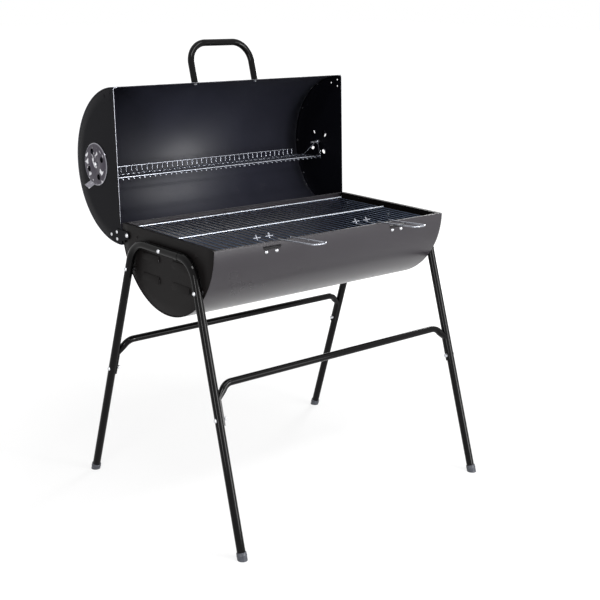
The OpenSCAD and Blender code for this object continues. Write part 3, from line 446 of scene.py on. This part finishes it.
# The leg caps: moulded dark grey polyethylene cups, pushed on the tubes' ends. Each stands on
# a flat foot that is level although the tube leans.
LEG_TILT, LEG_SPLAY = radians(17), radians(1)
# radius of the whole foot, and of the collar that joins the front tube's top bar
FOOT_R, COLLAR_R = 13.5 * MM, 11.8 * MM
# radius and height along the tube, in mm: the outer wall with its bead, then the bore
CAP_LINE = ((0, -16), (12.96, -16), (12.96, 9), (13.44, 10), (13.44, 12), (12.96, 13), (12.96, 18.2),
            (12.384, 19), (10.752, 19), (10.752, 10), (0, 10))


def moulded_plastic(name):
    """Moulded polyethylene: a matt skin with a fine spark-eroded grain and light scuffs."""
    made, tree, shader = new_finish(name)
    place = add_node(tree, "ShaderNodeTexCoord").outputs["Object"]
    grain = add_node(tree, "ShaderNodeTexNoise", links={"Vector": place},
                     values={"Scale": 1 / (1.11 * MM), "Detail": 2.0})
    scuff = add_node(tree, "ShaderNodeTexNoise", links={"Vector": place},
                     values={"Scale": 1 / (16.7 * MM), "Detail": 4.0})
    tint = add_node(tree, "ShaderNodeMix", data_type="RGBA", links={"Factor": scuff.outputs["Fac"]},
                    values={6: paint("#2c2d33"), 7: paint("#42454d")})
    pits = add_node(tree, "ShaderNodeBump", links={"Height": grain.outputs["Fac"]},
                    values={"Strength": 0.25, "Distance": 0.3 * MM})
    tree.links.new(tint.outputs[2], shader.inputs["Base Color"])
    tree.links.new(pits.outputs[0], shader.inputs["Normal"])
    shader.inputs["Roughness"].default_value = 0.5
    return made


foot_plastic = moulded_plastic("moulded_polyethylene")
leg_low, leg_high = (Vector(corner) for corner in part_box("leg_front_right"))
bar_x, bar_z = leg_low.x + COLLAR_R, leg_high.z - COLLAR_R
foot_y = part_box("foot_front_right")[0][1] + FOOT_R / cos(LEG_TILT) - drum_mid.y
lean = (Matrix.Translation((bar_x, drum_mid.y, bar_z)) @ Matrix.Rotation(-LEG_SPLAY, 4, "Y")
        @ Matrix.Translation((0, foot_y, -bar_z)) @ Matrix.Rotation(-LEG_TILT, 4, "X"))
cap = start_chain("cap_front_right", [lean @ Vector((r * MM, 0, h * MM)) for r, h in CAP_LINE])
bpy.ops.mesh.spin(steps=32, angle=2 * pi, center=lean.translation, axis=lean.to_3x3() @ Vector((0, 0, 1)))
bpy.ops.mesh.select_all(action="SELECT")
bpy.ops.mesh.remove_doubles(threshold=0.01 * MM)
bpy.ops.mesh.select_all(action="SELECT")
bpy.ops.mesh.bisect(plane_co=(0, 0, 0), plane_no=(0, 0, 1), clear_inner=True, use_fill=True)
close_up(cap)
middle = (0, drum_mid.y, 0)
caps = {"foot_front_right": cap,
        "foot_front_left": copy_of(cap, "cap_front_left", flip=(-1, 1, 1)),
        "foot_rear_right": copy_of(cap, "cap_rear_right", flip=(1, -1, 1), about=middle),
        "foot_rear_left": copy_of(cap, "cap_rear_left", flip=(-1, -1, 1), about=middle)}
for name, piece in caps.items():
    hand_over(piece, foot_plastic, "drum_and_stand", "foot_plastic", name)


# Bolts, nuts, washers and rivets: pressed steel, most of it with bright zinc plating that has
# turned a little milky. The small rivets round the lid's seams are left as grey steel.
def plated_metal(name, colour, cloudy, roughness, grain_size):
    """A plated or drawn metal: a tinted mirror, blurred by a fine grain."""
    made, tree, shader = new_finish(name)
    place = add_node(tree, "ShaderNodeTexCoord").outputs["Object"]
    grain = add_node(tree, "ShaderNodeTexNoise", links={"Vector": place},
                     values={"Scale": 1 / grain_size, "Detail": 3.0})
    tint = add_node(tree, "ShaderNodeMix", data_type="RGBA", links={"Factor": grain.outputs["Fac"]},
                    values={6: paint(colour), 7: paint(cloudy)})
    blur = add_node(tree, "ShaderNodeMapRange", links={"Value": grain.outputs["Fac"]}, values={
        "From Min": 0.3, "From Max": 0.7, "To Min": roughness - 0.06, "To Max": roughness + 0.08})
    tree.links.new(tint.outputs[2], shader.inputs["Base Color"])
    tree.links.new(blur.outputs[0], shader.inputs["Roughness"])
    shader.inputs["Metallic"].default_value = 1.0
    return made


# pale and blurred: each head is a small bright dot on the black
bright_zinc = plated_metal("bright_zinc_plate", "#dcdde0", "#c2c4c9", 0.32, 4 * MM)
coat(bright_zinc, "bracket_bolts", "bracket_nuts", "leg_washers", "leg_bolts", "leg_nuts", "brace_bolts",
     "brace_nuts", "hinge_bolts", "hinge_washers", "hinge_nuts", "hinge_rivets", "handle_screws",
     "rack_pins", "rack_pin_nuts", "damper_washers")
# dull grey, so that the seams' rivets stay in the background
rivet_steel = plated_metal("grey_rivet_steel", "#7c7d80", "#5f6063", 0.45, 3 * MM)
coat(rivet_steel, "lid_seam_rivets")

# The two front brackets: strip steel folded to a lip that comes out through the drum's slot
# and a tongue that carries the grill, each held inside the skin by two dome bolts.
# The paint is black with a soft sheen, like the drum's but darker.
bracket_paint = satin_enamel("satin_bracket_paint", "#121113", "#19181a", 0.25, 0.4)
coat(bracket_paint, "bracket_left", "bracket_right")

# The charcoal grates: drawn steel wires welded on thicker bars, one grate to each half of
# the drum. Smoke has dulled the steel to a dark grey with a blurred metal glint.
grate_steel = plated_metal("smoked_steel_wire", "#2a2b30", "#1f2024", 0.5, 6 * MM)
coat(grate_steel, "charcoal_grate_left", "charcoal_grate_right")

# The cooking grill: thin cross wires welded under long rails, then chrome plated. The cross wires
# below the rails are painted a duller blue-grey than the rails, as painted shade.
RAIL_DEEP = 3.4 * MM


def chromed_wire(name, rail_z):
    """Chrome plated wire, bright above rail_z and painted duller below it as painted shade."""
    made, tree, shader = new_finish(name)
    place = add_node(tree, "ShaderNodeTexCoord").outputs["Object"]
    mist = add_node(tree, "ShaderNodeTexNoise", links={"Vector": place},
                    values={"Scale": 1 / (10 * MM), "Detail": 3.0})
    height = add_node(tree, "ShaderNodeSeparateXYZ", links={0: place}).outputs["Z"]
    # above rail_z the rails keep the bright chrome; below it the cross wires take the painted shade
    rail_height_mask = add_node(tree, "ShaderNodeMapRange", links={"Value": height}, values={
        "From Min": rail_z - 0.5 * MM, "From Max": rail_z + 0.5 * MM})
    dull = add_node(tree, "ShaderNodeMix", data_type="RGBA", links={"Factor": mist.outputs["Fac"]},
                    values={6: paint("#4f5b70"), 7: paint("#6b7890")})
    tint = add_node(tree, "ShaderNodeMix", data_type="RGBA", values={7: paint("#bfc4cd")},
                    links={"Factor": rail_height_mask.outputs[0], 6: dull.outputs[2]})
    blur = add_node(tree, "ShaderNodeMapRange", values={"To Min": 0.3, "To Max": 0.45},
                    links={"Value": mist.outputs["Fac"]})
    tree.links.new(tint.outputs[2], shader.inputs["Base Color"])
    tree.links.new(blur.outputs[0], shader.inputs["Roughness"])
    shader.inputs["Metallic"].default_value = 1.0
    return made


grill_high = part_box("cooking_grill")[1][2]
grill_chrome = chromed_wire("chrome_plated_grill_wire", grill_high - RAIL_DEEP)
coat(grill_chrome, "cooking_grill")

# The grill's two lifting handles and the warming rack: steel wire bent and welded. The handles'
# legs go under the grill's front wire, and the rack hangs in the lid on two swinging arms.
# Their chrome is a clean pale mirror, so that thin wire shows as a light grey line.
chrome_wire = plated_metal("chrome_plated_wire", "#b6b9c0", "#9396a0", 0.22, 10 * MM)
coat(chrome_wire, "grill_handle_left", "grill_handle_right", "rack_deck", "rack_arm_left", "rack_arm_right")

# The lid's skin: a rolled sheet like the drum's, riveted round the flanges of its end plates.
# The same enamel, painted cooler and blacker as painted shade with a painted cool cast of the light inside
# the lid, and with its cut edges painted pale as a painted highlight.
LID_OPEN = radians(92.8)
lid_low, lid_high = (Vector(corner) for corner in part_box("lid_sheet"))
lid_mid = Vector((0.0, lid_high.y - drum_r, lid_low.z + drum_r))
dome = Vector((0, sin(LID_OPEN), cos(LID_OPEN)))
rim = Vector((0, -cos(LID_OPEN), sin(LID_OPEN)))


def thicken(piece, thickness, face, edge):
    """Gives a bent surface its thickness, with one finish on its faces and one on its cut edges."""
    piece.data.materials.append(face)
    piece.data.materials.append(edge)
    fasten(piece, "SOLIDIFY", thickness=thickness, offset=0.0, material_offset_rim=1)


# pale metal on the cut edges, a painted highlight: a thin pale outline round each sheet of the lid
painted_highlight_edge = plated_metal("pale_steel_painted_highlight", "#85868c", "#66676d", 0.4, 4 * MM)
# painted cooler and darker than the drum, as painted shade with a painted cool cast of the light, and
# rougher, for a broad haze inside the open lid
lid_enamel = satin_enamel("satin_enamel_lid", "#15161f", "#1c1d2a", 0.5, 0.5)
lid_start = lid_mid + Vector((lid_low.x, 0, 0))
lid_turns = [pi * i / ARC_STEPS for i in range(ARC_STEPS + 1)]
lid_skin = start_chain("lid_skin", [lid_start + mid_r * (cos(a) * rim + sin(a) * dome) for a in lid_turns])
draw_out((lid_high.x - lid_low.x, 0, 0))
close_up(lid_skin)
thicken(lid_skin, SHEET_T, lid_enamel, painted_highlight_edge)
hand_over(lid_skin, lid_enamel, "lid", "lid_enamel", "lid_sheet")

# The lid's end plates: pressed half discs with a flange, a ring of four vent holes and three
# rivet holes at each corner. They are enamelled like the skin but painted darker as painted shade, and
# their cut edges are painted pale as a painted highlight.
VENT_UP, VENT_RING, VENT_D = 109 * MM, 36.77 * MM, 20 * MM
RIVET_HOLE = 5 * MM
# how far out along the rim and how far up from it each rivet sits
RIVETS = ((194 * MM, 18 * MM), (175 * MM, 18 * MM), (184.5 * MM, 46 * MM))


def drill(piece, x, hole, size):
    """Drills a round hole through a plate that faces along x."""
    cut_away(piece, bpy.ops.mesh.primitive_cylinder_add, vertices=32, radius=size / 2, depth=20 * MM,
             location=(x, hole.y, hole.z), rotation=(0, pi / 2, 0))


# almost flat black with a cool tone, painted shade over the lid's enamel, against which the dampers stand
# out
lid_end_enamel = satin_enamel("satin_enamel_lid_ends_painted_shade", "#07070b", "#0c0c11", 0.04, 0.36)
lid_face = lid_high.x - PLATE_T / 2
vent_at = lid_mid + VENT_UP * dome
lid_end_right = pan("lid_end_right_plate", lid_mid, lid_face, plate_r, rim, 1)
thicken(lid_end_right, PLATE_T, lid_end_enamel, painted_highlight_edge)
for corner in range(4):
    a = radians(45 + 90 * corner)
    drill(lid_end_right, lid_face, vent_at + VENT_RING * (cos(a) * rim + sin(a) * dome), VENT_D)
for side in (-1, 1):
    for out, up in RIVETS:
        drill(lid_end_right, lid_face, lid_mid + side * out * rim + up * dome, RIVET_HOLE)
close_up(lid_end_right)
lid_end_left = copy_of(lid_end_right, "lid_end_left_plate", flip=(-1, 1, 1))
for plate, name in ((lid_end_left, "lid_end_left"), (lid_end_right, "lid_end_right")):
    hand_over(plate, lid_end_enamel, "lid", "lid_end_enamel", name)

# The hinge plates: flat steel stamped to shape, held by three rivets to each end of the lid
# and turning on the hinge bolts. They take the lid ends' enamel and its painted shade.
coat(lid_end_enamel, "hinge_plate_left", "hinge_plate_right")

# The lid handle: one bent steel tube with threaded plugs in its feet, screwed on from inside
# the lid and powder coated like the legs.
coat(tube_paint, "lid_handle")

# The dampers: chromed discs pressed to a shallow dish with a rolled rim, four holes and a bent
# thumb tab. Each turns on the long bolt through its bore. The thin plated sheet is wavy.
DAMPER_R, DAMPER_T, DAMPER_HOLE, DAMPER_OFF = 57.5 * MM, 0.8 * MM, 16 * MM, 0.9 * MM
TAB_WIDE, TAB_LONG, TAB_BEND = 24 * MM, 21 * MM, radians(55)
TAB_ROOT, TAB_LAP, TAB_KNEE = 2.5 * MM, 4 * MM, 3 * MM
# radius and height above the bore's edge, in mm, from the bore out to the rolled rim
DISH = ((3.4, 0), (13, 0), (17, 0.9), (24, 1.5), (34, 1.7), (44, 1.4), (51, 0.6), (54, 0.5), (56, 1.0),
        (57.4, 0.3), (57.5, -0.1))


def damper_disc(name, side, turn):
    """One damper, turned on its bolt, with its face outwards on this side of the lid."""
    hub = Vector((side * (lid_high.x + DAMPER_OFF), vent_at.y, vent_at.z))
    out = Vector((side, 0, 0))
    along = sin(turn) * dome - cos(turn) * rim
    across = cos(turn) * dome + sin(turn) * rim
    disc = start_chain(name + "_disc", [hub + h * MM * out + r * MM * along for r, h in DISH])
    bpy.ops.mesh.spin(steps=72, angle=2 * pi, center=hub, axis=(1, 0, 0))
    close_up(disc, 60)
    fasten(disc, "SOLIDIFY", thickness=DAMPER_T, offset=0.0)
    for corner in range(4):
        a = radians(45 + 90 * corner)
        drill(disc, hub.x, hub + VENT_RING * (cos(a) * along + sin(a) * across), DAMPER_HOLE)
    lean_out = sin(TAB_BEND) * out + cos(TAB_BEND) * along
    root = hub + (DAMPER_R - TAB_ROOT) * along - TAB_WIDE / 2 * across
    tab = start_chain(name + "_tab", [
        root - TAB_LAP * along, root, root + TAB_KNEE * lean_out, root + TAB_LONG * lean_out])
    draw_out(TAB_WIDE * across)
    close_up(tab)
    fasten(tab, "SOLIDIFY", thickness=DAMPER_T, offset=0.0)
    join_on(disc, tab)
    close_up(disc)
    return disc


def wavy_chrome(name):
    """Chrome on thin pressed sheet: a mirror with painted reflections, pale and dark streaks along its slow
    waves.
    """
    made, tree, shader = new_finish(name)
    place = add_node(tree, "ShaderNodeTexCoord").outputs["Object"]
    waves = add_node(tree, "ShaderNodeTexNoise", links={"Vector": place},
                     values={"Scale": 1 / (29.41 * MM), "Detail": 1.0, "Distortion": 1.2})
    # painted reflection: where the waves rise past a level, the chrome is painted in pale streaks on dark
    # grey
    streak = add_node(tree, "ShaderNodeMapRange", values={"From Min": 0.57, "From Max": 0.66},
                      links={"Value": waves.outputs["Fac"]})
    painted_reflection_tint = add_node(tree, "ShaderNodeMix", data_type="RGBA", links={"Factor": streak.outputs[0]},
                     values={6: paint("#46424b"), 7: paint("#dcdce0")})
    # the rolled rim is painted paler towards its edge
    flat = add_node(tree, "ShaderNodeVectorMath", operation="MULTIPLY", values={1: (0, 1, 1)},
                    links={0: place}).outputs[0]
    far = add_node(tree, "ShaderNodeVectorMath", operation="DISTANCE", links={0: flat},
                   values={1: (0, vent_at.y, vent_at.z)})
    rolled = add_node(tree, "ShaderNodeMapRange", links={"Value": far.outputs["Value"]}, values={
        "From Min": DAMPER_R - 3.5 * MM, "From Max": DAMPER_R - 1.5 * MM, "To Max": 0.6})
    tint = add_node(tree, "ShaderNodeMix", data_type="RGBA", values={7: paint("#a9a8b0")},
                    links={"Factor": rolled.outputs[0], 6: painted_reflection_tint.outputs[2]})
    dents = add_node(tree, "ShaderNodeBump", links={"Height": waves.outputs["Fac"]},
                     values={"Strength": 0.5, "Distance": 2 * MM})
    tree.links.new(tint.outputs[2], shader.inputs["Base Color"])
    tree.links.new(dents.outputs[0], shader.inputs["Normal"])
    shader.inputs["Metallic"].default_value = 1.0
    shader.inputs["Roughness"].default_value = 0.12
    return made


damper_chrome = wavy_chrome("chrome_on_thin_sheet")
for name, side, turn in (("damper_left", -1, radians(22.5)), ("damper_right", 1, radians(15))):
    hand_over(damper_disc(name, side, turn), damper_chrome, name, "damper_chrome", name)
